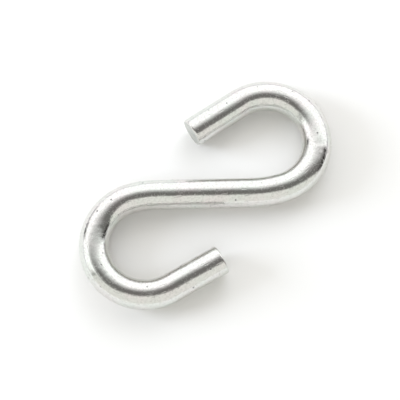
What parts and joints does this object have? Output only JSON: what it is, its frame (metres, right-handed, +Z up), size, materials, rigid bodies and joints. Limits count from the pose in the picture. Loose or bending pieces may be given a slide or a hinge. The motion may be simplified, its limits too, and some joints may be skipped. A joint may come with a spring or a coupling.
{
  "type": "s-hook",
  "caption": "Round-wire S-hook with a nearly closed eye at either end, blunt cut tails and a short straight shank, for hanging a load from a bar, ring or chain.",
  "frame": {"origin": "on the surface that the hook lies on, under the middle of its box", "axes": "+X along the straight shank towards the upper eye, +Y towards the upper eye's side, +Z up, square to the plane of the S"},
  "size_m": [0.0428, 0.0396, 0.005],
  "materials": {
    "zinc_plate": "bright zinc plate over drawn steel wire"
  },
  "bodies": {
    "root": {"s_hook": "zinc_plate"}
  },
  "joints": []
}
